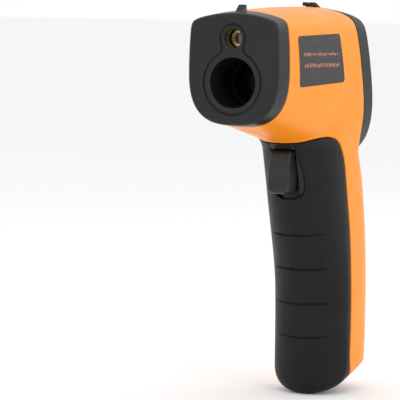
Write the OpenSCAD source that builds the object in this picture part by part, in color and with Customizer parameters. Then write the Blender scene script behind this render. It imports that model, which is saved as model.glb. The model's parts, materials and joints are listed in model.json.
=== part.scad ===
// Pistol-grip infrared thermometer with a sensor barrel, a laser pointer,
// a tilted display with three keys, a trigger and a hinged battery grip.
// Origin: centre of the sensor aperture on the flat face of the nose cover.
// +X points out of the nose, +Y to the holder's left, +Z up. Millimetres.

/* [Nose] */
// Half-width of the nose cover at its back rim
nose_half_w = 19.8; // [19.4:0.1:20.4]
// Level of the side corners at the top of the nose cover
nose_top_z = 23.2; // [22.8:0.1:23.8]
// Rise of the top arc above the side corners
nose_crown = 4; // [3:0.1:4.5]
// Lowest level of the nose cover
nose_low_z = -16.8; // [-17.4:0.1:-16]
// Depth of the nose cover from front to back
nose_depth = 9; // [8.5:0.1:9.3]
// Radius of the sensor aperture
aperture_r = 9.45; // [9.2:0.05:9.6]
// Radius of the laser aperture
laser_r = 3.65; // [3.5:0.05:3.8]
// Height of the laser aperture above the sensor aperture
laser_z = 16.8; // [16.6:0.1:17.2]

/* [Display end] */
// Angle by which the display face leans forward at its top
rear_tilt = 13.6; // [13:0.1:14.4]
// Position of the display face along the barrel
rear_x = -85.4; // [-86:0.1:-85]
// Height of the display face's reference point
rear_z = -2.4; // [-2.8:0.1:-2]
// Half-width of the display bezel
rear_half_w = 20.5; // [20.2:0.1:20.8]
// Depth of the display bezel
bezel_depth = 9.6; // [9.2:0.1:10]

/* [Handle] */
// Half-width of the handle
grip_half_w = 16.3; // [16:0.1:16.6]
// Thickness of the orange shells
shell_wall = 2.2; // [2:0.1:2.4]
// Thickness of the soft skin on the battery door
skin_wall = 1.3; // [1.1:0.1:1.5]
// Thickness of the hard frame of the battery door
door_wall = 1.3; // [1.1:0.1:1.5]
// Gap between the battery door and the shells
door_gap = 0.4; // [0.35:0.05:0.5]

/* [Trigger] */
// Width of the trigger blade
blade_w = 8.8; // [8.6:0.1:9.2]
// Radius of the trigger pivot pin
pivot_r = 1; // [0.9:0.05:1.1]

/* [Hidden] */
$fn = 48;

orange = [0.96, 0.5, 0.13];
black = [0.13, 0.13, 0.14];
soft_black = [0.1, 0.1, 0.1];
grey = [0.45, 0.46, 0.48];
board_green = [0.05, 0.3, 0.16];

// Sampling of the lofted solids
ring_points = 48;
barrel_steps = 5;
// Level of the barrel's widest section
waist_z = 5.6;
side_taper = 0.06;
nose_corner_power = 18;
rear_corner_power = 12;
belly_power = 2.7;
rear_top_v = 26.4;
rear_crown = 5.4;
// The bezel is higher at its front edge, and its top arc flatter
junction_rise = 3.6;
junction_flatter = 0.6;
// Outward bow of the barrel's top at mid-length
top_bow = 0.6;
rear_low_v = -28.8;
rear_waist_v = 6;
nose_wall = 2.4;

// Handle stations: level, front, widest place, back
stations = [
    [-8, -40, -64, -80],
    [-24, -43.2, -66, -89.2],
    [-31, -45.1, -68, -92.4],
    [-40, -47.8, -70, -96],
    [-50, -50.9, -72, -98.4],
    [-60, -54.3, -74, -100.2],
    [-70, -58.2, -75.4, -101.4],
    [-80, -61.6, -76.4, -102.1],
    [-92, -62.8, -77, -102.4],
    [-104, -63.6, -77, -102.2],
    [-114, -64, -77, -101.6]];
dome_z = -114;
dome_depth = 10.9;
dome_rake = 0.4;
dome_shift = 2.5;
dome_power = 2.8;
dome_steps = 4;
front_power = 2;
back_power = 3.5;

// Seam between the shells and the black grip, seen from the side
seam_top = [[-36, -25], [-43, -24], [-47, -22.6], [-53, -21.7], [-59, -22.6], [-63, -24.6],
    [-66, -27.6], [-68.4, -32]];
seam_back = [[-70, -38], [-72.3, -48], [-74.8, -59], [-76.4, -70.6], [-77.5, -85],
    [-77.8, -99], [-77.5, -109], [-77.8, -115], [-79.4, -118.4], [-82, -119.6], [-88, -118.6],
    [-97.6, -116.2]];
grip_end_x = -30;
grip_end_z = -131;

door_pin_x = -94.6;
door_pin_z = -114.2;
door_pin_r = 1;
door_ear_r = 2.2;
door_sweep_r = 2.8;
knuckle_y = 7.6;
pin_clear = 0.05;

pivot_x = -54;
pivot_z = -29;
roll_r = 3.2;
// Teardrop slot for the trigger, seen from the front: half-width by level
slot_shape = [[5.4, -20], [5.4, -28], [6.2, -32], [6.9, -36], [7.2, -40], [6.9, -43], [5.6, -45.2],
    [3, -46.6], [0, -46.9]];

tray_tilt = 8;
tray_x = -77.5;
tray_z = -52;
cell_r = 5.2;
cell_l = 44.5;
cell_y = 5.5;

laser_key_u = -10.7;
backlight_key_u = 6.3;
side_key_v = -13.4;
unit_key_u = -2.4;
unit_key_v = -19.8;
side_key_w = 7.6;
side_key_h = 5.2;
unit_key_w = 8.8;
unit_key_h = 6.4;
board_front = -9.4;
board_thick = 1.6;
switch_h = 3.4;

// ---- Outlines and lofts -------------------------------------------------

function corner_reach(a, n) = pow(pow(abs(cos(a)), n) + pow(abs(sin(a)), n), -1 / n);

// Shield outline: a crowned top with tight corners over a rounded belly
function shield(w, waist, top, crown, low, corner, count = ring_points) = [
    for (i = [0:count - 1])
        let (a = 360 * i / count)
        let (r = corner_reach(a, sin(a) > 0 ? corner : belly_power))
        let (u = r * cos(a), v = r * sin(a))
        sin(a) > 0
            ? [w * u * (1 - side_taper * v * v), waist + v * (top - waist + crown * (1 - u * u))]
            : [w * u, waist + v * (waist - low)]];

function nose_outline(inset) =
    shield(nose_half_w - inset, waist_z, nose_top_z - inset, nose_crown, nose_low_z + inset,
        nose_corner_power);
function rear_outline(inset, t = 0) =
    shield(rear_half_w - inset, rear_waist_v, rear_top_v + t * junction_rise - inset,
        rear_crown - t * junction_flatter, rear_low_v + inset, rear_corner_power);

// A point of the display end's own plane, "out" along its outward normal
function rear_point(p, out) = [
    rear_x + p[1] * sin(rear_tilt) - out * cos(rear_tilt),
    p[0],
    rear_z + p[1] * cos(rear_tilt) + out * sin(rear_tilt)];

function barrel_ring(s, inset, from_x, to_out) =
    let (a = nose_outline(inset), b = rear_outline(inset, 1))
    [for (i = [0:ring_points - 1])
        let (high = max(0, a[i][1] - waist_z) / (nose_top_z + nose_crown - waist_z))
        (1 - s) * [from_x, a[i][0], a[i][1]] + s * rear_point(b[i], to_out)
            + [0, 0, top_bow * 4 * s * (1 - s) * high]];

function station(z, column) = lookup(z, [for (s = stations) [s[0], s[column]]]);

function handle_ring(z, inset, shrink, rake) =
    let (m = station(z, 2), f = station(z, 1) - inset - m, b = m - station(z, 3) - inset)
    [for (i = [0:ring_points - 1])
        let (a = 360 * i / ring_points)
        let (r = corner_reach(a, cos(a) > 0 ? front_power : back_power))
        let (dx = shrink * r * cos(a) * (cos(a) > 0 ? f : b))
        [m + dx, shrink * (grip_half_w - inset) * r * sin(a), z - rake * dx]];

// The bottom of the handle closes in a raked dome
function dome_ring(t, inset) =
    let (drop = pow(sin(90 * t), 2 / dome_power), shrink = pow(cos(90 * t), 2 / dome_power))
    let (ring = handle_ring(dome_z, inset, shrink, dome_rake * drop))
    [for (p = ring) [p[0] + dome_shift * t, p[1], p[2] - (dome_depth - inset) * drop]];

module loft(rings) {
    n = len(rings[0]);
    last = len(rings) - 1;
    points = [for (ring = rings) for (p = ring) p];
    sides = [for (k = [0:last - 1]) for (i = [0:n - 1])
        let (j = (i + 1) % n)
        each [[k * n + i, k * n + j, (k + 1) * n + j], [k * n + i, (k + 1) * n + j, (k + 1) * n + i]]];
    first_cap = [for (i = [0:n - 1]) n - 1 - i];
    last_cap = [for (i = [0:n - 1]) last * n + i];
    polyhedron(points, concat(sides, [first_cap, last_cap]));
}

module barrel(inset, from_x, to_out)
    loft([for (k = [0:barrel_steps]) barrel_ring(k / barrel_steps, inset, from_x, to_out)]);

module handle(inset, top_z = -8) {
    levels = concat([top_z], [for (s = stations) if (s[0] < top_z) s[0]]);
    body = [for (z = levels) handle_ring(z, inset, 1, 0)];
    dome = [for (k = [1:dome_steps]) dome_ring(0.97 * k / dome_steps, inset)];
    loft(concat(body, dome));
}

module outer_body(inset) {
    barrel(inset, -nose_depth, -bezel_depth);
    handle(inset);
}

// Everything in front of the seam, grown backwards and upwards by "grow"
module grip_region(grow) {
    edge = [for (p = seam_top) [p[0] - grow / 2, p[1] + grow]];
    back = [for (p = seam_back) [p[0] - grow, p[1] + (p[0] < -78.8 ? grow : 0)]];
    rotate([90, 0, 0])
        linear_extrude(height = 60, center = true)
            polygon(concat([[grip_end_x, grip_end_z], [grip_end_x, edge[0][1]]], edge, back,
                [[-130, -110], [-130, grip_end_z]]));
}

module along_y(r, x, z, y0, y1)
    translate([x, y0, z])
        rotate([-90, 0, 0])
            cylinder(h = y1 - y0, r = r);

module along_x(r, x0, x1, y, z)
    translate([x0, y, z])
        rotate([0, 90, 0])
            cylinder(h = x1 - x0, r = r);

module box(x0, x1, y0, y1, z0, z1)
    translate([x0, y0, z0])
        cube([x1 - x0, y1 - y0, z1 - z0]);

// Flat plate of the given outline, seen from the side, between two Y values
module side_plate(outline, y0, y1)
    translate([0, y1, 0])
        rotate([90, 0, 0])
            linear_extrude(height = y1 - y0)
                polygon(outline);

// Local frame of the display end: X to the holder's right, Y up the face, Z outwards
module on_rear()
    translate([rear_x, 0, rear_z])
        rotate([0, rear_tilt, 0])
            rotate([90, 0, -90])
                children();

// Local frame of the nose: X to the holder's left, Y up, Z out of the nose
module on_nose()
    rotate([90, 0, 90])
        children();

module on_tray()
    translate([tray_x, 0, tray_z])
        rotate([0, tray_tilt, 0])
            children();

function ellipse(w, h, count = 40) =
    [for (i = [0:count - 1]) [w / 2 * cos(360 * i / count), h / 2 * sin(360 * i / count)]];

module rounded_plate(w, h, r)
    union() {
        square([w - 2 * r, h], center = true);
        square([w, h - 2 * r], center = true);
        for (x = [-1, 1], y = [-1, 1])
            translate([x * (w / 2 - r), y * (h / 2 - r)])
                circle(r);
    }

// ---- Wires and springs --------------------------------------------------

function unit(v) = v / norm(v);
function helix(r0, r1, pitch, turns, steps) =
    [for (i = [0:steps * turns])
        let (a = 360 * i / steps, t = i / (steps * turns))
        [(r0 + (r1 - r0) * t) * cos(a), (r0 + (r1 - r0) * t) * sin(a), pitch * i / steps]];

function bend(p, n) = [for (i = [0:len(p) - 2]) for (k = [0:n - 1])
    let (t = k / n, a = p[max(i - 1, 0)], b = p[i], c = p[i + 1], d = p[min(i + 2, len(p) - 1)])
    0.5 * (2 * b + t * (c - a) + t * t * (2 * a - 5 * b + 4 * c - d)
        + t * t * t * (3 * b - a - 3 * c + d))];

// Round wire swept along a path; "side" is a direction that the path never follows
module wire(path, r, side, sides = 6) {
    last = len(path) - 1;
    loft([for (i = [0:last])
        let (t = unit(path[min(i + 1, last)] - path[max(i - 1, 0)]))
        let (u = unit(cross(side, t)), v = cross(t, u))
        [for (k = [0:sides - 1]) path[i] + r * (cos(360 * k / sides) * u - sin(360 * k / sides) * v)]]);
}

// ---- Housing ------------------------------------------------------------

screw_places = [[-33, 15.2], [-53, 4]];
screw_head_y = -18.2;
screw_shank_r = 1.2;
boss_r = 3;
door_boss_y = [8, 10.8];
label_rise = 0.3;

// Outline of a side label, seen from the side
label_shape = [[-16.2, 17.2], [-17, 18.1], [-52, 19], [-53.2, 18.2], [-57.8, 0.6],
    [-57, -0.3], [-18.8, -1.5], [-17.8, -0.9]];

module label_prism(side)
    rotate([90, 0, 0])
        translate([0, 0, side > 0 ? -30 : 0])
            linear_extrude(height = 30)
                polygon(label_shape);

module half_space(side)
    if (side > 0)
        box(-130, 10, 0, 40, -140, 60);
    else
        box(-130, 10, -40, 0, -140, 60);

module shell_half(side)
    intersection() {
        difference() {
            union() {
                difference() {
                    outer_body(0);
                    barrel(shell_wall, -nose_depth + 1, -bezel_depth + 1);
                    handle(shell_wall, -7);
                }
                for (p = screw_places)
                    along_y(boss_r, p[0], p[1], side > 0 ? 0 : -18.6, side > 0 ? 18.4 : 0);
            }
            grip_region(0);
            along_y(door_sweep_r, door_pin_x, door_pin_z, -door_boss_y[1] - 0.5, door_boss_y[1] + 0.5);
            // room for the battery door's knuckle
            box(-95.2, -78, -knuckle_y - 0.4, knuckle_y + 0.4, -122, -112.6);
            loft([bezel_ring(0, -bezel_depth), bezel_ring(0, 4)]);
            for (p = screw_places) {
                along_y(side > 0 ? screw_shank_r + 0.05 : 1.5, p[0], p[1], side > 0 ? -1 : -20, 12);
                if (side < 0)
                    along_y(2.9, p[0], p[1], -21, screw_head_y + 1.6);
            }
        }
        half_space(side);
    }

// Lug that carries one end of the battery door's hinge pin
module door_lug(side) {
    y0 = side > 0 ? door_boss_y[0] : -door_boss_y[1];
    y1 = side > 0 ? door_boss_y[1] : -door_boss_y[0];
    difference() {
        union() {
            along_y(door_ear_r, door_pin_x, door_pin_z, y0, y1);
            box(-100.4, door_pin_x, y0, y1, door_pin_z - 0.6, door_pin_z + 2.3);
        }
        along_y(door_pin_r + 0.02, door_pin_x, door_pin_z, y0 - 1, y1 + 1);
    }
}

module left_shell() color(orange) {
    shell_half(1);
    door_lug(1);
}

module right_shell() color(orange) {
    shell_half(-1);
    door_lug(-1);
}

// Keyhole-shaped trim line that joins the two apertures
module keyhole(grow)
    union() {
        circle(12 + grow);
        translate([0, laser_z])
            circle(5.2 + grow);
        polygon([[-5.6 - grow, 10], [5.6 + grow, 10], [4.4 + grow, 14.4], [-4.4 - grow, 14.4]]);
    }

module nose_cover() color(black)
    difference() {
        union() {
            difference() {
                loft([for (k = [[0, 2.6], [-0.9, 1.2], [-2.2, 0.7], [-nose_depth, 0]])
                    [for (p = nose_outline(k[1])) [k[0], p[0], p[1]]]]);
                loft([for (x = [-nose_wall, -nose_depth - 1])
                    [for (p = nose_outline(2.4)) [x, p[0], p[1]]]]);
            }
            along_x(aperture_r + 1.6, -nose_depth, -1, 0, 0);
            along_x(laser_r + 1.4, -5, -1, 0, laser_z);
            // front sight: a ramp with a steep back
            rotate([90, 0, 0])
                linear_extrude(height = 2.8, center = true)
                    polygon([[-2.6, 25.6], [-7, 29.5], [-8.6, 29.5], [-8.9, 25.6]]);
        }
        along_x(aperture_r, -nose_depth - 1, 1, 0, 0);
        along_x(laser_r, -nose_depth - 1, 1, 0, laser_z);
        on_nose()
            translate([0, 0, -0.5])
                linear_extrude(height = 2)
                    difference() {
                        keyhole(0.3);
                        keyhole(-0.3);
                    }
    }

// ---- Display end --------------------------------------------------------

key_places = [[laser_key_u, side_key_v], [backlight_key_u, side_key_v], [unit_key_u, unit_key_v]];
key_sizes = [[side_key_w, side_key_h], [side_key_w, side_key_h], [unit_key_w, unit_key_h]];
window_v = 8.6;
window_w = 22;
window_h = 23.8;

function bezel_ring(inset, out) =
    [for (p = rear_outline(inset, min(1, max(0, -out / bezel_depth)))) rear_point(p, out)];

module rear_bezel() color(black)
    difference() {
        union() {
            difference() {
                loft([bezel_ring(0, -bezel_depth), bezel_ring(0.1, -3), bezel_ring(0.4, -1),
                    bezel_ring(1.5, 0)]);
                loft([bezel_ring(2.4, -bezel_depth - 1), bezel_ring(2.6, -2.4)]);
            }
            on_rear()
                translate([0, window_v, -4.2])
                    linear_extrude(height = 3)
                        rounded_plate(30, 30, 2);
            // raised line round the display recess
            on_rear()
                translate([0, window_v, -0.2])
                    linear_extrude(height = 0.7)
                        difference() {
                            rounded_plate(31, 34.4, 3);
                            rounded_plate(29.4, 32.8, 2.4);
                        }
            // rear sight: two fins that slope down to the back
            for (y = [-1.5, 1.5])
                translate([0, y, 0])
                    rotate([90, 0, 0])
                        linear_extrude(height = 1.9, center = true)
                            polygon([[-69.3, 27], [-68.3, 29.5], [-65.4, 29.5], [-65.2, 31.1],
                                [-67.8, 31], [-74.6, 28.2], [-73.8, 27]]);
        }
        on_rear() {
            translate([0, window_v, -6])
                linear_extrude(height = 12)
                    square([window_w, window_h], center = true);
            translate([0, window_v, -3.2])
                linear_extrude(height = 3.3, scale = [1.24, 1.24])
                    square([window_w, window_h], center = true);
            for (k = [0:2])
                translate([key_places[k][0], key_places[k][1], -5])
                    linear_extrude(height = 10)
                        polygon(ellipse(key_sizes[k][0] + 0.7, key_sizes[k][1] + 0.7));
        }
    }

module display_window() color([0.75, 0.8, 0.85, 0.4])
    on_rear()
        translate([0, window_v, -5.2])
            linear_extrude(height = 1)
                square([25, 27], center = true);

module lcd_panel() color([0.45, 0.55, 0.6])
    on_rear()
        translate([0, window_v, -6.8])
            linear_extrude(height = 1.5)
                square([24, 26.4], center = true);

module backlight_panel() color([0.85, 0.92, 0.95])
    on_rear()
        translate([0, window_v, -8.6])
            linear_extrude(height = 1.7)
                square([23.4, 26], center = true);

module display_frame() color(grey)
    on_rear()
        translate([0, window_v, board_front])
            difference() {
                union() {
                    linear_extrude(height = 4.1)
                        square([27, 29], center = true);
                    for (x = [-1, 1])
                        translate([x * 10, 0, -board_thick - 0.6])
                            linear_extrude(height = 3)
                                square([1.6, 2.4], center = true);
                }
                translate([0, 0, 0.7])
                    linear_extrude(height = 5)
                        square([24.4, 26.8], center = true);
                translate([0, 0, -5])
                    linear_extrude(height = 10)
                        square([18, 20], center = true);
            }

module main_board() color(board_green)
    on_rear()
        difference() {
            translate([0, 0, board_front - board_thick])
                linear_extrude(height = board_thick)
                    polygon([[-15.6, 22.6], [15.6, 22.6], [15.6, -10], [10, -21.6], [4, -23.6],
                        [-4, -23.6], [-10, -21.6], [-15.6, -10]]);
            for (x = [-1, 1])
                translate([x * 10, window_v, -13])
                    linear_extrude(height = 6)
                        square([2, 2.8], center = true);
            for (x = [-1, 1])
                translate([x * 13.4, -9.6, -13])
                    cylinder(h = 6, r = 1.1);
        }

chip_places = [[0, 3, 10, 10, 1.4], [-9.8, 1, 5, 4, 1.2], [10, 0, 4, 5, 1.2], [8.6, -9, 3, 6, 1.6],
    [0, 15.6, 9, 3.4, 2.6]];

module board_chips() color(black)
    on_rear()
        for (c = chip_places)
            translate([c[0] - c[2] / 2, c[1] - c[3] / 2, board_front - board_thick - c[4]])
                cube([c[2], c[3], c[4]]);

module buzzer() color(black)
    on_rear()
        translate([-7.6, -8.4, board_front - board_thick - 4])
            difference() {
                cylinder(h = 4, r = 4.6);
                translate([0, 0, -1])
                    cylinder(h = 1.8, r = 0.9);
            }

// Key cap: a domed oval with a flange behind the bezel and a stem to its switch
module key_cap(k, tone)
    color(tone)
        on_rear()
            translate([key_places[k][0], key_places[k][1], 0]) {
                w = key_sizes[k][0];
                h = key_sizes[k][1];
                loft([for (s = [[1.6, 0.45], [1.4, 0.74], [1, 0.92], [0.5, 1], [-3.4, 1]])
                    [for (p = ellipse(w, h, 32)) [p[0] * s[1], p[1] * s[1], s[0]]]]);
                translate([0, 0, -3.8])
                    linear_extrude(height = 1)
                        polygon(ellipse(w + 1.8, h + 1.4, 32));
                translate([0, 0, board_front + switch_h + 0.7])
                    cylinder(h = -3 - board_front - switch_h - 0.7, r = 1.2);
            }

module laser_key() key_cap(0, grey);
module backlight_key() key_cap(1, grey);
module unit_key() key_cap(2, "firebrick");

module key_switches() color(grey)
    on_rear()
        for (p = key_places)
            translate([p[0], p[1], board_front]) {
                difference() {
                    translate([-3, -3, 0])
                        cube([6, 6, switch_h]);
                    translate([0, 0, switch_h - 1.4])
                        cylinder(h = 3, r = 1.75);
                }
            }

module key_plunger(k)
    color(black)
        on_rear()
            translate([key_places[k][0], key_places[k][1], board_front + switch_h - 0.8])
                cylinder(h = 1.4, r = 1.6);

module laser_key_plunger() key_plunger(0);
module backlight_key_plunger() key_plunger(1);
module unit_key_plunger() key_plunger(2);

// ---- Optics -------------------------------------------------------------

tube_r = 10.6;
tube_bore_r = 9.15;
tube_back = -36;

module sensor_tube() color(black)
    difference() {
        along_x(tube_r, tube_back, -nose_depth - 0.1, 0, 0);
        along_x(tube_bore_r, -22, 0, 0, 0);
        along_x(8, -26, 0, 0, 0);
        along_x(6.4, -31, 0, 0, 0);
        along_x(4.75, -40, 0, 0, 0);
    }

module sensor_lens() color([0.35, 0.3, 0.42])
    translate([-22, 0, 0])
        rotate([0, 90, 0])
            rotate_extrude()
                polygon([[0, 0], [tube_bore_r - 0.05, 0], [tube_bore_r - 0.05, 0.6], [6.6, 1.2],
                    [3.4, 1.6], [0, 1.7]]);

module lens_ring() color(black)
    difference() {
        along_x(tube_bore_r - 0.05, -19.4, -17.6, 0, 0);
        along_x(8, -25, 0, 0, 0);
    }

module thermopile_can() color("silver") {
    along_x(4.1, -36.4, -31.6, 0, 0);
    along_x(4.6, -36.4, -35.6, 0, 0);
    for (a = [45, 135, 225, 315])
        along_x(0.25, -39.4, -36.2, 2.6 * cos(a), 2.6 * sin(a));
}

module sensor_board() color(board_green)
    difference() {
        box(-38, -36.5, -8, 8, -8, 8);
        for (a = [45, 135, 225, 315])
            along_x(0.35, -40, -34, 2.6 * cos(a), 2.6 * sin(a));
    }

module laser_module() color("goldenrod")
    difference() {
        union() {
            along_x(3.2, -18, -5.2, 0, laser_z);
            along_x(2.9, -20, -17, 0, laser_z);
        }
        along_x(2.2, -7.2, 0, 0, laser_z);
        along_x(1.3, -12, 0, 0, laser_z);
    }

module laser_lens() color([0.7, 0.3, 0.3])
    along_x(2.15, -8.2 + 1.1, -6.1, 0, laser_z);

module optics_bracket() color(grey)
    difference() {
        union() {
            box(-16.6, -12.6, -13.4, 13.4, -10.8, 20.8);
            box(-16.6, -12.6, -16.4, 16.4, -3, 3);
        }
        along_x(tube_r + 0.03, -30, 0, 0, 0);
        along_x(3.23, -30, 0, 0, laser_z);
    }

// ---- Trigger ------------------------------------------------------------

switch_x = -59.8;
switch_z = -39.6;
rib_w = 4.6;
ear_y = [5.1, 7.6];
blade_side = [[-44, -27.4], [-42.7, -28.1], [-41.8, -30.2], [-40.7, -36], [-40.2, -40],
    [-40.4, -42.4], [-41.8, -44.2], [-43.6, -44.6], [-47.4, -44.3], [-48.4, -43.6], [-49.4, -40],
    [-50.4, -34], [-51.2, -30.6], [-53, -26.2], [-50, -25.9], [-47.8, -27.2]];
lintel_half_w = 5.1;
lintel_side = [[-38, -25], [-43, -24.4], [-47, -23], [-51, -22.3], [-51, -25.2], [-47.7, -25.6],
    [-47, -26.9], [-38, -26.9]];
rib_side = [[-50, -26], [-46.6, -34], [-45, -42], [-46, -42.8], [-50, -40.4], [-56.6, -40.8],
    [-57.4, -39.6], [-56.6, -38.4], [-55.6, -36], [-56, -30]];

module trigger() color(black)
    difference() {
        union() {
            intersection() {
                side_plate(blade_side, -blade_w / 2, blade_w / 2);
                rotate([90, 0, 90])
                    translate([0, 0, -80])
                        linear_extrude(height = 60)
                            union() {
                                translate([-blade_w / 2, -41.9])
                                    square([blade_w, 22]);
                                translate([0, -41.9])
                                    rounded_plate(blade_w, 6, 2.9);
                            }
            }
            along_y(roll_r, pivot_x, pivot_z, -blade_w / 2, blade_w / 2);
            side_plate(rib_side, -rib_w / 2, rib_w / 2);
        }
        along_y(pivot_r + pin_clear, pivot_x, pivot_z, -10, 10);
        along_y(2.7, pivot_x, pivot_z, blade_w / 2 - 1.5, 10);
    }

module trigger_pin() color("silver")
    along_y(pivot_r, pivot_x, pivot_z, -ear_y[1], ear_y[1]);

// Torsion spring round the pivot pin, in a recess of the trigger
module trigger_spring() color("silver")
    translate([pivot_x, 3.6, pivot_z])
        rotate([-90, 0, 0])
            wire(helix(1.9, 1.9, 0.5, 2, 16), 0.2, [0, 0, 1], 6);

module slot_outline(inset)
    polygon(concat([for (p = slot_shape) [p[0] - inset, p[1] + inset]],
        [for (k = [len(slot_shape) - 2:-1:0]) [inset - slot_shape[k][0], slot_shape[k][1] + inset]]));

module slot_prism(inset)
    rotate([90, 0, 90])
        translate([0, 0, -64])
            linear_extrude(height = 40)
                slot_outline(inset);

module trigger_frame() color(black)
    difference() {
        union() {
            // pocket floor behind the blade
            intersection() {
                side_plate([[-54.4, -33.6], [-52.8, -33.6], [-53.4, -40], [-52.6, -46.9], [-54.2, -46.9],
                    [-55, -40]], -9, 9);
                slot_prism(door_gap);
            }
            for (s = [-1, 1])
                side_plate([[-52, -25], [-58, -25], [-58, -46], [-57.4, -46], [-56.4, -40],
                    [-54.4, -34], [-52.4, -31]], s > 0 ? ear_y[0] : -ear_y[1], s > 0 ? ear_y[1] : -ear_y[0]);
            box(-66, -57, -ear_y[1], ear_y[1], -26.5, -25);
            // bridge over the pivot, and the lintel that closes the opening above the blade
            box(-58, -50, -ear_y[1], ear_y[1], -25.2, -23.8);
            intersection() {
                handle(0.1, -10);
                side_plate(lintel_side, -lintel_half_w, lintel_half_w);
            }
            for (s = [-1, 1])
                box(-66, -57, s > 0 ? 6.1 : -ear_y[1], s > 0 ? ear_y[1] : -6.1, -46, -25);
        }
        along_y(pivot_r + 0.02, pivot_x, pivot_z, -20, 20);
        box(-60, -50, -rib_w / 2 - 0.5, rib_w / 2 + 0.5, -43.4, -28);
    }

module trigger_switch() color(black)
    difference() {
        box(switch_x - 5.4, switch_x, -3.1, 3.1, -44, -34);
        along_x(1.7, switch_x - 3.4, switch_x + 1, 0, switch_z);
    }

module switch_plunger() color("firebrick")
    along_x(1.6, switch_x - 0.9, switch_x + 2.2, 0, switch_z);

module switch_board() color(board_green)
    difference() {
        box(switch_x - 7, switch_x - 5.4, -6, 6, -45.8, -27);
        for (y = [-1.2, 1.2])
            along_x(0.5, switch_x - 8, switch_x - 5, y, -30);
    }

// ---- Battery compartment ------------------------------------------------

tray_len = 53;
tray_w = 23.4;

module battery_tray() color(black)
    on_tray()
        difference() {
            box(-8, 3.4, -tray_w / 2, tray_w / 2, -tray_len, 0);
            for (s = [-1, 1])
                box(-6.4, 10, s > 0 ? 0.3 : -10.9, s > 0 ? 10.9 : -0.3, -tray_len + 1.4, -1.4);
            box(-20, -2, -3, 3, -30, -20);
        }

module battery_cells() color("silver")
    on_tray()
        for (s = [-1, 1])
            translate([0, s * cell_y, 0])
                rotate([0, s > 0 ? 0 : 180, 0])
                    translate([0, 0, s > 0 ? 0.05 - cell_l - 1.9 : tray_len - 1.85 - cell_l]) {
                        cylinder(h = cell_l - 1, r = cell_r);
                        cylinder(h = cell_l, r = 1.9);
                    }

module battery_contacts() color("silver")
    on_tray()
        for (s = [-1, 1]) {
            translate([0, s * cell_y, 0])
                box(-3.6, 3, -3.6, 3.6, -1.8, -1.4);
            translate([0, s * cell_y, 0])
                box(-3.6, 3, -3.6, 3.6, -tray_len + 1.4, -tray_len + 1.8);
        }

module battery_springs() color("silver")
    on_tray() {
        translate([0, cell_y, -tray_len + 2.1])
            wire(helix(3.6, 2.1, 1.35, 3, 14), 0.28, [0, 0, 1], 6);
        translate([0, -cell_y, -2.1])
            rotate([180, 0, 0])
                wire(helix(3.6, 2.1, 1.35, 3, 14), 0.28, [0, 0, 1], 6);
    }

groove_levels = [-61.3, -75.4, -89.6, -103.2];
groove_ring_r = 16.5;
groove_depth = 0.8;

module grip_layer(outer, inner)
    difference() {
        intersection() {
            handle(outer, -20);
            difference() {
                grip_region(0);
                grip_clearance();
            }
        }
        handle(inner, -10);
        slot_prism(0);
    }

// A thin band along the seam, kept free so that the door can swing
module grip_clearance() {
    difference() {
        grip_region(1);
        grip_region(-door_gap);
    }
}

module grip_skin() color(soft_black)
    difference() {
        grip_layer(0, skin_wall);
        for (z = groove_levels)
            translate([station(z, 1) - groove_depth - groove_ring_r, 0, z])
                rotate_extrude()
                    polygon([[groove_ring_r, 0.15], [groove_ring_r + 4, 1.6], [groove_ring_r + 4, -1.1],
                        [groove_ring_r, -0.15]]);
    }

module battery_door() color(black)
    difference() {
        union() {
            grip_layer(skin_wall, skin_wall + door_wall);
            // knuckle that turns on the hinge pin
            along_y(door_ear_r, door_pin_x, door_pin_z, -knuckle_y, knuckle_y);
            intersection() {
                handle(skin_wall, -20);
                side_plate([[door_pin_x - 1, door_pin_z - 1.9], [door_pin_x, door_pin_z + 2.1],
                    [-80, -119.4], [-72, -121], [-72, -124], [-86, -120]], -knuckle_y, knuckle_y);
            }
        }
        along_y(door_pin_r + pin_clear, door_pin_x, door_pin_z, -20, 20);
    }

module door_pin() color("silver")
    along_y(door_pin_r, door_pin_x, door_pin_z, -door_boss_y[1], door_boss_y[1]);

module shell_screws() color("silver")
    for (p = screw_places)
        difference() {
            union() {
                along_y(screw_shank_r, p[0], p[1], screw_head_y, 6);
                along_y(2.6, p[0], p[1], screw_head_y, screw_head_y + 1.6);
            }
            for (a = [0, 90])
                translate([p[0], screw_head_y, p[1]])
                    rotate([0, a, 0])
                        cube([3, 1.6, 0.7], center = true);
        }

// ---- Labels -------------------------------------------------------------

module side_label(side) color(black)
    difference() {
        intersection() {
            barrel(-label_rise, -nose_depth, -bezel_depth);
            label_prism(side);
        }
        barrel(0, -nose_depth, -bezel_depth);
    }

module left_label() side_label(1);
module right_label() side_label(-1);

// ---- Wiring -------------------------------------------------------------

sensor_route = [[-38.2, 5, 0], [-43, 5.4, 1], [-49, 6, 8], [-56, 4.6, 11], [-62, 3, 11.4],
    [-67.8, 2, 9.4]];
laser_route = [[-20.2, 0, 16.8], [-26, 0, 19.4], [-36, -2, 21.4], [-48, -4, 21], [-58, -5.4, 19],
    [-64, -6.6, 16.8], [-69, -7, 14.6]];
battery_route = [[-78.6, 8, -51], [-76, 8.4, -46], [-74, 8.6, -38], [-75, 8.6, -30], [-76.4, 8, -24],
    [-77.8, 6, -20.4]];

module lead_pair(route, gap) {
    for (s = [-1, 1])
        wire([for (p = concat(bend(route, 4), [route[len(route) - 1]])) p + [0, s * gap, 0]],
            0.55, [0, 1, 0]);
}

module sensor_leads() color("ivory") lead_pair(sensor_route, 0.7);
module laser_leads() color("firebrick") lead_pair(laser_route, 0.7);
module battery_leads() color("firebrick") lead_pair(battery_route, 0.7);

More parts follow.
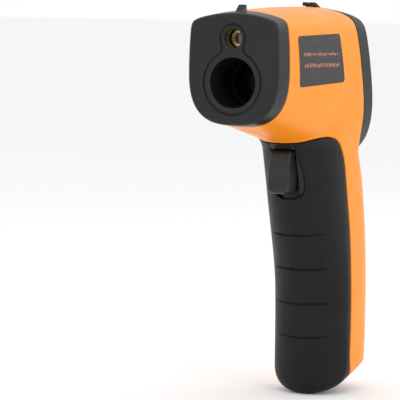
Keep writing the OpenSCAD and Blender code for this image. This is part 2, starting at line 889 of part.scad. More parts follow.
left_shell();
right_shell();
nose_cover();
rear_bezel();
display_window();
lcd_panel();
backlight_panel();
display_frame();
main_board();
board_chips();
buzzer();
laser_key();
backlight_key();
unit_key();
key_switches();
laser_key_plunger();
backlight_key_plunger();
unit_key_plunger();
sensor_tube();
sensor_lens();
lens_ring();
thermopile_can();
sensor_board();
laser_module();
laser_lens();
optics_bracket();
trigger();
trigger_pin();
trigger_spring();
trigger_frame();
trigger_switch();
switch_plunger();
switch_board();
battery_tray();
battery_cells();
battery_contacts();
battery_springs();
battery_door();
grip_skin();
door_pin();
shell_screws();
left_label();
right_label();
sensor_leads();
laser_leads();
battery_leads();
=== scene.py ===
"""Looks of a pistol-grip infrared thermometer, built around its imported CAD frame.

The origin is the centre of the sensor aperture on the nose, +X points out of the nose,
+Y to the holder's left and +Z up. Shapes are worked out in millimetres as distance fields,
meshed where the field is zero, and stored in metres.
"""
import json
import math

import bpy
import numpy as np
from mathutils import Matrix, Vector


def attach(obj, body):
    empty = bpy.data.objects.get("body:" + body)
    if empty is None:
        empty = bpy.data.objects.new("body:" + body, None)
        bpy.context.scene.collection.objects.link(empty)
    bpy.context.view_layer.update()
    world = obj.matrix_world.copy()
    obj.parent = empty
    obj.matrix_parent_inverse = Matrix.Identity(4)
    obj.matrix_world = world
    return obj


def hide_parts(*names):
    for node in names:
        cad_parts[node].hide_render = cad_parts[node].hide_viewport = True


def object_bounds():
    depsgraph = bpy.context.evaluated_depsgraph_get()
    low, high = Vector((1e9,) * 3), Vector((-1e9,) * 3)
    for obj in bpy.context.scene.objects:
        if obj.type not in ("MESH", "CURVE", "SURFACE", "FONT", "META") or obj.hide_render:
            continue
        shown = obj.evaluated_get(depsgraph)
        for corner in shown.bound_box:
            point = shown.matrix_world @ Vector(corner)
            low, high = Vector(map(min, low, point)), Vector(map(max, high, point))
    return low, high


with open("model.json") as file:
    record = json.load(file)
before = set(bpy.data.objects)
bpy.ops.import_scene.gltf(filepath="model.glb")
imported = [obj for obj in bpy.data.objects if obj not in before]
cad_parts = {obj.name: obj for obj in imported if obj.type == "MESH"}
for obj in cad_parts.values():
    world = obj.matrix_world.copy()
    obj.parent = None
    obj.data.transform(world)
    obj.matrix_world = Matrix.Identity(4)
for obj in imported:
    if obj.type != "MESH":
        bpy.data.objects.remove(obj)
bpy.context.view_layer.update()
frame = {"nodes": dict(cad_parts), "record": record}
MM = 0.001

# ---- Driving dimensions, in millimetres, as in the CAD ----
NOSE_HALF_W, NOSE_TOP, NOSE_CROWN, NOSE_LOW, NOSE_DEPTH = 19.8, 23.2, 4, -16.8, 9
REAR_HALF_W, REAR_TOP, REAR_CROWN, REAR_LOW, BEZEL_DEPTH = 20.5, 26.4, 5.4, -28.8, 9.6
JUNCTION_RISE, JUNCTION_FLATTER, TOP_BOW = 3.6, 0.6, 0.6
JUNCTION_TOP, JUNCTION_CROWN = REAR_TOP + JUNCTION_RISE, REAR_CROWN - JUNCTION_FLATTER
NOSE_WAIST, REAR_WAIST, SIDE_TAPER = 5.6, 6, 0.06
NOSE_POWER, REAR_POWER, BELLY_POWER = 18, 12, 2.7
REAR_X, REAR_Z, REAR_TILT = -85.4, -2.4, math.radians(13.6)
SIN_T, COS_T = math.sin(REAR_TILT), math.cos(REAR_TILT)
BEZEL_GAP, FORM_BLEND = 0.1, 4  # housing to bezel; fillet between barrel and handle
APERTURE_R, LASER_R, LASER_Z = 9.45, 3.65, 16.8
KEYHOLE_R, KEYHOLE_LASER_R = 12, 5.2
GRIP_HALF_W, SHELL_WALL, SKIN_WALL, DOOR_GAP = 16.3, 2.2, 1.3, 0.4
STATIONS = np.array([  # level, front, widest place, back
    [-8, -40, -64, -80], [-24, -43.2, -66, -89.2], [-31, -45.1, -68, -92.4],
    [-40, -47.8, -70, -96], [-50, -50.9, -72, -98.4], [-60, -54.3, -74, -100.2],
    [-70, -58.2, -75.4, -101.4], [-80, -61.6, -76.4, -102.1], [-92, -62.8, -77, -102.4],
    [-104, -63.6, -77, -102.2], [-114, -64, -77, -101.6]])[::-1]
DOME_Z, DOME_DEPTH, DOME_RAKE, DOME_SHIFT, DOME_POWER = -114, 10.9, 0.4, 2.5, 2.8
FRONT_POWER, BACK_POWER = 2, 3.5
# Border between the black grip and the orange shells, in side view (x, z)
SEAM = [[-36, -25], [-43, -24], [-47, -22.6], [-53, -21.7], [-59, -22.6], [-63, -24.6],
        [-66, -27.6], [-68.4, -32], [-70, -38], [-72.3, -48], [-74.8, -59], [-76.4, -70.6],
        [-77.5, -85], [-77.8, -99], [-77.5, -109], [-77.8, -115], [-79.4, -118.4],
        [-82, -119.6], [-88, -118.6], [-97.6, -116.2]]
# Right half of the trigger opening, in front view (y, z)
SLOT_HALF = [[5.4, -18], [5.4, -28], [6.2, -32], [6.9, -36], [7.2, -40], [6.9, -43],
             [5.6, -45.2], [3, -46.6], [0, -46.9]]
GROOVES, GROOVE_REACH, GROOVE_DEPTH = (-61.3, -75.4, -89.6, -103.2), 13.2, 0.75
HINGE_X, HINGE_Z, EAR_R = -94.6, -114.2, 2.2
PIVOT_X, PIVOT_Z = -54, -29
WINDOW_V, WINDOW_W, WINDOW_H = 8.6, 22, 23.8
# Key centre (u, v), width and height on the display face
KEYS = {"laser_key": (-10.7, -13.4, 7.6, 5.2), "backlight_key": (6.3, -13.4, 7.6, 5.2),
        "unit_key": (-2.4, -19.8, 8.8, 6.4)}
LCD_W = -5.3
PRINT_TOP, PRINT_BOTTOM = 0.18, 0.05  # ink on the labels, above the housing


# ---- Distance fields ----
def round_and(a, b, r):
    """Both solids, with the edge where they meet rounded to radius r."""
    return np.minimum(np.maximum(a, b), -r) + np.hypot(np.maximum(a + r, 0), np.maximum(b + r, 0))


def round_or(a, b, r):
    """Either solid, with a fillet of about radius r between them."""
    return -round_and(-a, -b, r)


def cut(a, b, r):
    """Solid a without solid b, with the new edge rounded."""
    return round_and(a, -b, r)


def superellipse(u, v, power):
    """Below 1 inside the unit superellipse of the given power, above 1 outside."""
    return (np.abs(u) ** power + np.abs(v) ** power) ** (1 / power)


def shield(u, v, half_w, waist, top, crown, low, power):
    """Shield outline: a crowned top with tight corners over a rounded belly."""
    arch = 1 - np.clip((u / half_w) ** 2, 0, 1)
    up = v > waist
    rise = np.where(up, top - waist + crown * arch, waist - low)
    w = (v - waist) / rise
    side = u / (half_w * (1 - SIDE_TAPER * np.clip(w, 0, 1) ** 2))
    n = superellipse(side, w, np.where(up, power, BELLY_POWER))
    return np.hypot(u, v - waist) * (1 - 1 / np.maximum(n, 1e-3))


def nose_shield(y, z):
    return shield(y, z, NOSE_HALF_W, NOSE_WAIST, NOSE_TOP, NOSE_CROWN, NOSE_LOW, NOSE_POWER)


def rear_shield(u, v, w):
    """Display outline, higher and flatter on top towards the front edge of the bezel."""
    t = np.clip(-w / BEZEL_DEPTH, 0, 1)
    return shield(u, v, REAR_HALF_W, REAR_WAIST, REAR_TOP + t * JUNCTION_RISE,
                  REAR_CROWN - t * JUNCTION_FLATTER, REAR_LOW, REAR_POWER)


def to_rear(x, y, z):
    """Display face coordinates: u to the holder's right, v up the face, w outwards."""
    dx, dz = x - REAR_X, z - REAR_Z
    return -y, dx * SIN_T + dz * COS_T, -dx * COS_T + dz * SIN_T


def from_rear(u, v, w):
    return np.stack([REAR_X + v * SIN_T - w * COS_T, -u + 0 * v,
                     REAR_Z + v * COS_T + w * SIN_T], -1)


def barrel(x, y, z):
    """Loft from the nose outline to the display outline."""
    u, v = y / NOSE_HALF_W, (z - REAR_Z) / COS_T
    for _ in range(3):
        reach = REAR_X + v * SIN_T + BEZEL_DEPTH * COS_T + NOSE_DEPTH
        s = np.clip((x + NOSE_DEPTH) / np.minimum(reach, -30), 0, 1)
        base = (1 - s) * NOSE_WAIST + s * (REAR_Z + REAR_WAIST * COS_T - BEZEL_DEPTH * SIN_T)
        arch = 1 - np.clip(u * u, 0, 1)
        up = z > base
        rear_rise = np.where(up, JUNCTION_TOP - REAR_WAIST + JUNCTION_CROWN * arch,
                             REAR_WAIST - REAR_LOW)
        nose_rise = np.where(up, NOSE_TOP - NOSE_WAIST + NOSE_CROWN * arch, NOSE_WAIST - NOSE_LOW)
        bow = np.where(up, TOP_BOW * 4 * s * (1 - s), 0)
        w = (z - base) / ((1 - s) * nose_rise + s * rear_rise * COS_T + bow)
        half_w = (1 - s) * NOSE_HALF_W + s * REAR_HALF_W
        u = y / (half_w * (1 - SIDE_TAPER * np.clip(w, 0, 1) ** 2))
        v = REAR_WAIST + w * rear_rise
    n = superellipse(u, w, np.where(up, (1 - s) * NOSE_POWER + s * REAR_POWER, BELLY_POWER))
    return np.hypot(y, z - base) * (1 - 1 / np.maximum(n, 1e-3))


def station(z, column):
    """Smooth curve through the handle's stations at level z."""
    knots, values = STATIONS[:, 0], STATIONS[:, column]
    slopes = np.gradient(values, knots)
    i = np.clip(np.searchsorted(knots, z) - 1, 0, len(knots) - 2)
    h = knots[i + 1] - knots[i]
    t = np.clip((z - knots[i]) / h, 0, 1)
    return ((2 * t ** 3 - 3 * t ** 2 + 1) * values[i] + (t ** 3 - 2 * t ** 2 + t) * h * slopes[i]
            + (3 * t ** 2 - 2 * t ** 3) * values[i + 1] + (t ** 3 - t ** 2) * h * slopes[i + 1])


def handle(x, y, z):
    """Superellipse sections on a leaning spine, closed below by a raked dome."""
    level = np.maximum(z, DOME_Z)
    front, middle, back = (station(level, c) for c in (1, 2, 3))
    sink = np.maximum(DOME_Z - z, 0)
    dx = x - middle
    for _ in range(3):
        drop = sink / np.maximum(DOME_DEPTH + DOME_RAKE * dx, 1.2)
        turn = np.arcsin(np.clip(drop, 0, 1) ** (DOME_POWER / 2)) / (math.pi / 2)
        dx = x - middle - DOME_SHIFT * turn
    ahead = np.clip(dx / 10 + 0.5, 0, 1)
    ahead = ahead * ahead * (3 - 2 * ahead)
    n = superellipse(dx / np.where(dx > 0, front - middle, middle - back), y / GRIP_HALF_W,
                     BACK_POWER + (FRONT_POWER - BACK_POWER) * ahead)
    n = superellipse(n, drop, DOME_POWER)
    length = np.sqrt(dx ** 2 + y ** 2 + (drop * DOME_DEPTH) ** 2)
    return np.maximum(length * (1 - 1 / np.maximum(n, 1e-3)), z + 10)


def body(x, y, z):
    """The smooth outer form that the shells and the grip share."""
    end = to_rear(x, y, z)[2] + BEZEL_DEPTH + BEZEL_GAP
    return round_or(np.maximum(barrel(x, y, z), end), handle(x, y, z), FORM_BLEND)


def outline(a, b, points):
    """Signed distance to a closed outline, negative inside."""
    best, inside = np.full(a.shape, 1e9), np.zeros(a.shape, bool)
    points = np.asarray(points, float)
    for (x0, y0), (x1, y1) in zip(points, np.roll(points, -1, axis=0)):
        ex, ey = x1 - x0, y1 - y0
        t = np.clip(((a - x0) * ex + (b - y0) * ey) / (ex * ex + ey * ey + 1e-12), 0, 1)
        best = np.minimum(best, (a - x0 - t * ex) ** 2 + (b - y0 - t * ey) ** 2)
        if y0 != y1:
            inside ^= ((y0 <= b) != (y1 <= b)) & (a < x0 + (b - y0) / (y1 - y0) * ex)
    return np.where(inside, -1, 1) * np.sqrt(best)


def smooth_line(points, steps=5):
    """Catmull-Rom curve through the points, ends kept."""
    p = np.array([points[0]] + list(points) + [points[-1]], float)
    t = np.arange(steps)[:, None] / steps
    runs = []
    for a, b, c, d in zip(p, p[1:], p[2:], p[3:]):
        runs.append(0.5 * (2 * b + t * (c - a) + t ** 2 * (2 * a - 5 * b + 4 * c - d)
                           + t ** 3 * (3 * b - a - 3 * c + d)))
    return np.concatenate(runs + [p[-1:]])


def tabled(points, low, high, step=0.25):
    """The outline's distance as a table that is read by interpolation."""
    n = [int(math.ceil((h - l) / step)) + 1 for l, h in zip(low, high)]
    grid = np.meshgrid(*(l + step * np.arange(k) for l, k in zip(low, n)), indexing="ij")
    table = outline(grid[0], grid[1], points)

    def read(a, b):
        fa = np.clip((a - low[0]) / step, 0, n[0] - 1.001)
        fb = np.clip((b - low[1]) / step, 0, n[1] - 1.001)
        i, j = fa.astype(int), fb.astype(int)
        s, t = fa - i, fb - j
        return ((table[i, j] * (1 - s) + table[i + 1, j] * s) * (1 - t)
                + (table[i, j + 1] * (1 - s) + table[i + 1, j + 1] * s) * t)
    return read


grip_outline = tabled(
    [[-30, -131], [-30, -25]] + smooth_line(SEAM).tolist() + [[-130, -110], [-130, -131]],
    (-110, -135), (-25, -10))
slot_right = smooth_line(SLOT_HALF[1:], 6)
slot_outline = tabled(
    [[SLOT_HALF[0][0], SLOT_HALF[0][1]]] + slot_right.tolist()
    + [[-u, v] for u, v in slot_right[-2::-1]] + [[-SLOT_HALF[0][0], SLOT_HALF[0][1]]],
    (-12, -52), (12, -14), 0.125)


def slab(a, low, high):
    """Between two planes."""
    return np.maximum(low - a, a - high)


def rod(a, b, r):
    """Endless cylinder, seen along its axis."""
    return np.hypot(a, b) - r


# ---- Meshing ----
CORNERS = np.stack(np.meshgrid(*[[0, 1]] * 3, indexing="ij"), -1).reshape(-1, 3)


def sampled(field, low, high, step, block=4):
    """Field values on a grid: fine near the surface, one for each block elsewhere."""
    count = np.ceil((high - low) / (block * step)).astype(int)
    centre = [low[a] + block * step * (np.arange(count[a]) + 0.5) for a in range(3)]
    coarse = field(*np.meshgrid(*centre, indexing="ij"))
    near = np.abs(coarse) < block * step * 1.35
    values = coarse.repeat(block, 0).repeat(block, 1).repeat(block, 2).astype(np.float32)
    mask = near.repeat(block, 0).repeat(block, 1).repeat(block, 2)
    where = np.argwhere(mask)
    values[mask] = field(*(low[a] + step * (where[:, a] + 0.5) for a in range(3)))
    return values


def cell_middles(values, cells):
    """Mean of the places where the surface crosses each cell's edges, in grid steps."""
    total, hits = np.zeros((len(cells), 3)), np.zeros(len(cells))
    for axis in range(3):
        for c in CORNERS[CORNERS[:, axis] == 0]:
            a = cells + c
            b = a.copy()
            b[:, axis] += 1
            va, vb = values[tuple(a.T)], values[tuple(b.T)]
            cross = (va < 0) != (vb < 0)
            t = np.where(cross, va / np.where(cross, va - vb, 1), 0)
            point = a.astype(float)
            point[:, axis] += t
            total += point * cross[:, None]
            hits += cross
    return total / hits[:, None]


def cell_quads(inside, number):
    """One quad round each grid edge that the surface crosses, facing out."""
    quads = []
    for axis in range(3):
        one, two = (axis + 1) % 3, (axis + 2) % 3
        lower = [slice(1, n - 1) for n in inside.shape]
        upper = list(lower)
        lower[axis], upper[axis] = slice(0, inside.shape[axis] - 1), slice(1, inside.shape[axis])
        first, second = inside[tuple(lower)], inside[tuple(upper)]
        for flag, order in ((first & ~second, 1), (~first & second, -1)):
            at = np.argwhere(flag)
            at[:, one] += 1
            at[:, two] += 1
            ring = []
            for da, db in ((-1, -1), (0, -1), (0, 0), (-1, 0))[::order]:
                cell = at.copy()
                cell[:, one] += da
                cell[:, two] += db
                ring.append(number[tuple(cell.T)])
            quads.append(np.stack(ring, 1))
    return np.concatenate(quads)


def surface(field, low, high, step):
    """Vertices, quads and outward normals of field == 0, as a net of surface cells."""
    low, high = np.array(low, float) - 2 * step, np.array(high, float) + 2 * step
    values = sampled(field, low, high, step)
    inside, shape = values < 0, np.array(values.shape)
    total = np.zeros(shape - 1, np.int8)
    for c in CORNERS:
        total += inside[tuple(slice(c[a], shape[a] - 1 + c[a]) for a in range(3))]
    cells = np.argwhere((total > 0) & (total < 8))
    number = np.full(shape - 1, -1, np.int32)
    number[tuple(cells.T)] = np.arange(len(cells))
    points = low + step * (cell_middles(values, cells) + 0.5)
    quads = cell_quads(inside, number)
    for _ in range(3):
        f, g = slope(field, points)
        pull = np.clip(f / np.maximum((g ** 2).sum(1), 0.2), -step / 2, step / 2)
        points -= pull[:, None] * g
    _, g = slope(field, points)
    return points, quads, g / np.maximum(np.linalg.norm(g, axis=1), 1e-9)[:, None]


def slope(field, points, h=0.03):
    """The field's value and gradient at each point."""
    g = [(field(*(points + shift).T) - field(*(points - shift).T)) / (2 * h)
         for shift in h * np.eye(3)]
    return field(*points.T), np.stack(g, 1)


def mesh_object(name, points, faces, normals=None):
    """A mesh of one face size from points in millimetres."""
    faces = np.asarray(faces)
    mesh = bpy.data.meshes.new(name)
    mesh.vertices.add(len(points))
    mesh.vertices.foreach_set("co", (np.asarray(points) * MM).astype(np.float32).ravel())
    mesh.loops.add(faces.size)
    mesh.loops.foreach_set("vertex_index", faces.ravel().astype(np.int32))
    mesh.polygons.add(len(faces))
    starts = np.arange(0, faces.size, faces.shape[1], dtype=np.int32)
    mesh.polygons.foreach_set("loop_start", starts)
    mesh.polygons.foreach_set("use_smooth", np.ones(len(faces), bool))
    mesh.update(calc_edges=True)
    mesh.validate()
    if normals is not None:
        mesh.normals_split_custom_set_from_vertices(normals.tolist())
    obj = bpy.data.objects.new(name, mesh)
    bpy.context.scene.collection.objects.link(obj)
    return obj


def smooth_parting(points, normals):
    """Shades the outer skin beside the middle plane as one surface with the other half's."""
    near = np.flatnonzero(points[:, 1] < 0.7)
    depth, along = slope(body, points[near])
    outer = np.abs(depth) < 0.12
    normals[near[outer]] = along[outer] / np.linalg.norm(along[outer], axis=1)[:, None]


def solid(name, field, low, high, step, mirror=False):
    """A solid whose field is written in the object's coordinates."""
    points, quads, normals = surface(field, low, high, step)
    if field is shell_half:
        smooth_parting(points, normals)
    if mirror:
        points, normals = points * [1, -1, 1], normals * [1, -1, 1]
        quads = quads[:, ::-1]
    return mesh_object(name, points, quads, normals)


REAR_AXES = np.array([[0, -1, 0], [SIN_T, 0, COS_T], [-COS_T, 0, SIN_T]])


def rear_solid(name, field, low, high, step):
    """A solid whose field is written in the display face's coordinates."""
    points, quads, normals = surface(field, low, high, step)
    points = points @ REAR_AXES + [REAR_X, 0, REAR_Z]
    return mesh_object(name, points, quads, normals @ REAR_AXES)


def film(outlines, top, bottom, place, rings=1):
    """Thin closed plates: points and triangles of each outline between two heights.

    place(a, b, height) gives the points; rings of triangles let a plate follow a curve.
    """
    points, faces = [], []
    for line in outlines:
        line = np.asarray(line, float)
        middle, n = line.mean(0), len(line)
        flat = np.concatenate([middle[None]] + [middle + (line - middle) * k / rings
                                                for k in range(1, rings + 1)])
        start = sum(len(p) for p in points)
        k = np.arange(n)
        k2 = (k + 1) % n
        tris = [np.stack([0 * k, 1 + k, 1 + k2], 1)]
        for r in range(rings - 1):
            a, b = 1 + r * n, 1 + (r + 1) * n
            tris += [np.stack([a + k, b + k, b + k2], 1), np.stack([a + k, b + k2, a + k2], 1)]
        tris = np.concatenate(tris)
        rim, total = 1 + (rings - 1) * n, len(flat)
        walls = [np.stack([rim + k, rim + total + k, rim + total + k2], 1),
                 np.stack([rim + k, rim + total + k2, rim + k2], 1)]
        faces.append(start + np.concatenate([tris, tris[:, ::-1] + total] + walls))
        a, b = flat.T
        points.append(np.concatenate([place(a, b, top), place(a, b, bottom)]))
    return np.concatenate(points), np.concatenate(faces)


def outward(points, faces):
    """Faces turned so that the closed mesh has a positive volume."""
    a, b, c = (points[faces[:, i]] for i in range(3))
    return faces if np.einsum("ij,ij->i", a, np.cross(b, c)).sum() > 0 else faces[:, ::-1]


def film_object(name, outlines, top, bottom, place, rings=1):
    """Flat-shaded plates as one object."""
    points, faces = film(outlines, top, bottom, place, rings)
    obj = mesh_object(name, points, outward(points, faces))
    obj.data.polygons.foreach_set("use_smooth", np.zeros(len(obj.data.polygons), bool))
    return obj


def side_place(side):
    """Places (x, z) on the body's side, a given height above its surface."""
    def place(x, z, height):
        y = np.full(x.shape, 19.0)  # first guess
        for _ in range(25):
            y -= body(x, y, z) - height
        return np.stack([x, side * y, z], -1)
    return place


def rear_place(u, v, w):
    """Places (u, v) on the display face, at depth w."""
    return from_rear(u, v, np.broadcast_to(w, u.shape))


def rectangle(x0, x1, z0, z1):
    return [[x0, z0], [x1, z0], [x1, z1], [x0, z1]]


def rounded(points, r, steps=6):
    """A convex outline with its corners rounded to radius r."""
    p = np.asarray(points, float)
    out = []
    for before, corner, after in zip(np.roll(p, 1, axis=0), p, np.roll(p, -1, axis=0)):
        a, b = before - corner, after - corner
        a, b = a / np.linalg.norm(a), b / np.linalg.norm(b)
        half = math.acos(np.clip(a @ b, -1, 1)) / 2
        axis = (a + b) / np.linalg.norm(a + b)
        centre = corner + axis * r / math.sin(half)
        start, end = (corner + side * r / math.tan(half) - centre for side in (a, b))
        turn = math.pi - 2 * half
        for k in range(steps + 1):
            t = k / steps
            out.append(centre + (start * math.sin((1 - t) * turn) + end * math.sin(t * turn))
                       / math.sin(turn))
    return out


def dense(points, step):
    """The closed outline with no two points further apart than the step."""
    out = []
    for a, b in zip(np.asarray(points), np.roll(points, -1, axis=0)):
        count = max(1, int(math.ceil(np.linalg.norm(b - a) / step)))
        out += [a + (b - a) * k / count for k in range(count)]
    return out


# ---- Housing ----
LABEL_CORNERS = [[-16.1, 17.9], [-53.2, 18.9], [-57.6, -0.1], [-17.9, -1.5]]
LABEL_OUTLINE = dense(rounded(LABEL_CORNERS, 1.6), 1.5)


def hinge_lug(x, y, z):
    """Ear at the foot of the shell that holds the door's hinge pin."""
    lug = round_or(rod(x - HINGE_X, z - HINGE_Z, EAR_R),
                   np.maximum(slab(x, -99, HINGE_X), slab(z, HINGE_Z - 0.6, HINGE_Z + 2.3)), 0.5)
    return np.maximum(lug, slab(y, 8, 10.8))


def seam_lip(skin, edge, z):
    """Inner lip that backs the gap between shell and grip."""
    under = skin + 2 + 0.8 * np.clip((0.4 - edge) / 0.8, 0, 1)
    lip = np.maximum(np.maximum(under, -skin - 3.6), np.abs(edge) - 1.6)
    return np.maximum(lip, -111 - z)


def hinge_room(x, y, z):
    """Space inside the shell for the door's knuckle and its swing."""
    knuckle = np.maximum(rod(x - HINGE_X, z - HINGE_Z, 2.8), y - 11.3)
    swing = np.maximum(np.maximum(slab(x, -95.2, -78), y - 8), slab(z, -122, -112.6))
    return np.minimum(knuckle, swing)


def shell_half(x, y, z):
    """Half of the orange housing: a moulded wall with a rolled edge along the grip."""
    tube, grip = barrel(x, y, z), handle(x, y, z)
    u, v, w = to_rear(x, y, z)
    skin = round_or(round_and(tube, w + BEZEL_DEPTH + BEZEL_GAP, 0.35), grip, FORM_BLEND)
    hollow = round_or(np.maximum(tube, w + BEZEL_DEPTH - 3), grip, FORM_BLEND) + SHELL_WALL
    edge = grip_outline(x, z)
    d = cut(cut(skin, hollow, 0.3), edge, 0.5)
    d = np.minimum(d, seam_lip(skin, edge, z))
    d = round_and(d, x + NOSE_DEPTH + 0.1, 0.35)
    d = cut(d, np.maximum(rear_shield(u, v, w) - 0.15, -w - BEZEL_DEPTH - 0.08), 0.3)
    d = np.minimum(cut(d, hinge_room(x, y, z), 0.3), hinge_lug(x, y, z))
    return round_and(d, 0.015 - y, 0.05)


def nose_cover(x, y, z):
    """Hollow cover with a keyhole line round its two openings and a front sight on top."""
    side = nose_shield(y, z) + 0.1 * (x + NOSE_DEPTH)
    d = round_and(side, x, 1.4)
    d = cut(d, np.maximum(side + 2.4, x + 2.4), 0.3)
    d = np.minimum(d, np.maximum(rod(y, z, APERTURE_R + 1.6), x + 1))
    d = np.minimum(d, np.maximum(rod(y, z - LASER_Z, LASER_R + 1.4), np.maximum(x + 1, -5 - x)))
    d = round_and(d, -x - NOSE_DEPTH + 0.08, 0.3)
    keyhole = round_or(rod(y, z, KEYHOLE_R), rod(y, z - LASER_Z, KEYHOLE_LASER_R), 4)
    d = cut(d, np.maximum(np.abs(keyhole) - 0.35, -0.55 - x), 0.18)
    d = cut(d, rod(y, z, APERTURE_R), 0.7)
    d = cut(d, rod(y, z - LASER_Z, LASER_R), 0.45)
    ramp = outline(x, z, [[-2.4, 25.4], [-7, 29.5], [-8.7, 29.5], [-8.92, 25.4]])
    return round_or(d, round_and(ramp, np.abs(y) - 1.4, 0.35), 0.5)


def display_recess(u, v, w):
    """Sloped pocket down to the window, with an arched top."""
    grow = 0.82 * np.clip(w + 3.2, 0, 3.6)
    arch = 0.9 * (1 - np.clip(u / 14, -1, 1) ** 2) * np.clip(w + 3.2, 0, 3.4) / 3.2
    wide = np.abs(u) - WINDOW_W / 2 - grow
    tall = np.maximum(v - WINDOW_V - arch, WINDOW_V - v) - WINDOW_H / 2 - grow
    return 0.77 * round_and(wide, tall, 0.8)


def ridge_line(u, v):
    """Raised line round the display recess, arched at the top."""
    arch = 1.5 * (1 - np.clip(u / 15.5, -1, 1) ** 2)
    tall = np.maximum(v - WINDOW_V - arch, WINDOW_V - v) - 16.9
    return np.abs(round_and(np.abs(u) - 15.2, tall, 3))


def ellipse_distance(u, v, half_u, half_v):
    """Near-distance to an ellipse, negative inside."""
    n = np.hypot(u / half_u, v / half_v)
    return np.hypot(u, v) * (1 - 1 / np.maximum(n, 1e-3))


def rear_bezel(u, v, w):
    """Display surround: recess, raised line, key holes and the two-fin rear sight."""
    side = rear_shield(u, v, w) + 0.01 * (w + BEZEL_DEPTH)
    d = round_and(side, w, 1.4)
    d = cut(d, np.maximum(side + 2.5, w + 2.4), 0.3)
    plate = np.maximum(np.abs(u) - 15, np.abs(v - WINDOW_V) - 15)
    d = np.minimum(d, np.maximum(plate, slab(w, -4.2, -1.2)))
    d = round_and(d, -w - BEZEL_DEPTH + 0.02, 0.25)
    d = cut(d, display_recess(u, v, w), 0.35)
    d = round_or(d, np.hypot(ridge_line(u, v), w - 0.05) - 0.55, 0.15)
    for key_u, key_v, key_w, key_h in KEYS.values():
        hole = ellipse_distance(u - key_u, v - key_v, key_w / 2 + 0.35, key_h / 2 + 0.35)
        d = cut(d, hole, 0.3)
    x, y, z = REAR_X + v * SIN_T - w * COS_T, -u, REAR_Z + v * COS_T + w * SIN_T
    fin = outline(x, z, [[-69.3, 27], [-68.3, 29.5], [-65.4, 29.5], [-65.2, 31], [-67.8, 31],
                         [-74.6, 28.2], [-73.8, 27]])
    return round_or(d, round_and(fin, np.abs(np.abs(y) - 1.55) - 0.95, 0.35), 0.3)


def key_top(name, u, v):
    """Height of the key's crowned top above the display face."""
    _, _, w, h = KEYS[name]
    return 1.62 - 1.05 * np.clip(np.hypot(2 * u / w, 2 * v / h), 0, 1.2) ** 2.4


def key_cap(name):
    """Field of a key: crowned cap, flange behind the face and stem to its switch."""
    key_u, key_v, key_w, key_h = KEYS[name]

    def field(u, v, w):
        u, v = u - key_u, v - key_v
        cap = round_and(ellipse_distance(u, v, key_w / 2, key_h / 2), w - key_top(name, u, v), 0.5)
        cap = np.maximum(cap, -3.4 - w)
        flange = ellipse_distance(u, v, key_w / 2 + 0.9, key_h / 2 + 0.7)
        flange = np.maximum(flange, slab(w, -3.8, -2.8))
        stem = np.maximum(rod(u, v, 1.2), slab(w, -5.2, -3))
        return np.minimum(np.minimum(cap, flange), stem)
    return field


def grip_skin(x, y, z):
    """Soft skin with four crescent grooves and the teardrop opening for the trigger."""
    skin = body(x, y, z)
    d = cut(skin, skin + SKIN_WALL, 0.2)
    d = round_and(d, grip_outline(x, z) + DOOR_GAP, 0.45)
    d = cut(d, np.maximum(slot_outline(y, z), -64 - x), 0.35)
    for level in GROOVES:
        depth = GROOVE_DEPTH * (1 - np.clip(np.abs(y) / GROOVE_REACH, 0, 1.3) ** 3)
        sag = level - 0.3 * np.cos(y / 5)
        d = cut(d, np.maximum(-skin - depth, np.abs(z - sag) - 0.32), 0.3)
    return d


# Side views (x, z) of the trigger's blade and of the rib behind it
BLADE = [[-44, -27.2], [-42.6, -28.1], [-41.8, -30.4], [-40.7, -36], [-40.2, -40],
         [-40.4, -42.6], [-41.8, -44.3], [-43.6, -44.6], [-47.2, -44.4], [-48.4, -43.4],
         [-49.4, -40], [-50.4, -34], [-51.2, -30.6], [-53, -26.6], [-50.4, -26], [-47.8, -27]]
RIB = [[-50, -26], [-46.6, -34], [-45, -42], [-46, -42.8], [-50, -40.4], [-56.6, -40.8],
       [-57.4, -39.6], [-56.6, -38.4], [-55.6, -36], [-56, -30]]
blade_side = tabled(smooth_line(BLADE + BLADE[:1], 4)[:-1], (-60, -50), (-38, -20), 0.125)
rib_side = tabled(RIB, (-62, -50), (-38, -20), 0.125)


def trigger_blade(x, y, z):
    """Crowned blade with rounded corners, on a hub that turns on the pivot pin."""
    front = round_and(np.abs(y) - 4.4, -44.8 - z, 2.9)
    blade = round_and(blade_side(x, z), front, 0.9)
    hub = np.maximum(rod(x - PIVOT_X, z - PIVOT_Z, 3.2), np.abs(y) - 4.4)
    rib = round_and(rib_side(x, z), np.abs(y) - 2.3, 0.3)
    d = round_or(np.minimum(blade, hub), rib, 0.5)
    d = cut(d, rod(x - PIVOT_X, z - PIVOT_Z, 1.05), 0.1)
    return cut(d, np.maximum(rod(x - PIVOT_X, z - PIVOT_Z, 2.7), 2.9 - y), 0.1)


def trigger_pocket(x, y, z):
    """Dished lining of the trigger opening, and the lintel that closes it above the blade."""
    skin = body(x, y, z)
    dish = round_and(np.maximum(skin + 0.9, -skin - 8), slot_outline(y, z) + 0.1, 0.3)
    dish = np.maximum(dish, -66 - x)
    dish = cut(dish, np.maximum(np.abs(y) - 4.75, -46.3 - z), 0.15)
    lintel = round_and(skin + 0.04, np.maximum(slot_outline(y, z) + 0.1, -26.9 - z), 0.35)
    lintel = round_and(lintel, np.maximum(grip_outline(x, z) + DOOR_GAP, -47 - x), 0.2)
    return np.minimum(dish, lintel)


def mark_row(x0, x1, z0, z1, groups, seed):
    """A row of small blocks in groups, standing for a line of print."""
    rng = np.random.default_rng(seed)
    blocks, x = [], x0
    for group in groups:
        for _ in range(group):
            w = 0.75 + 0.45 * rng.random()
            if x - w < x1:
                return blocks
            cut_low, cut_high = 0.35 * rng.integers(0, 2), 0.35 * rng.integers(0, 2)
            blocks.append(rectangle(x - w, x, z0 + cut_low, z1 - cut_high))
            x -= w + 0.28
        x -= 0.7
    return blocks


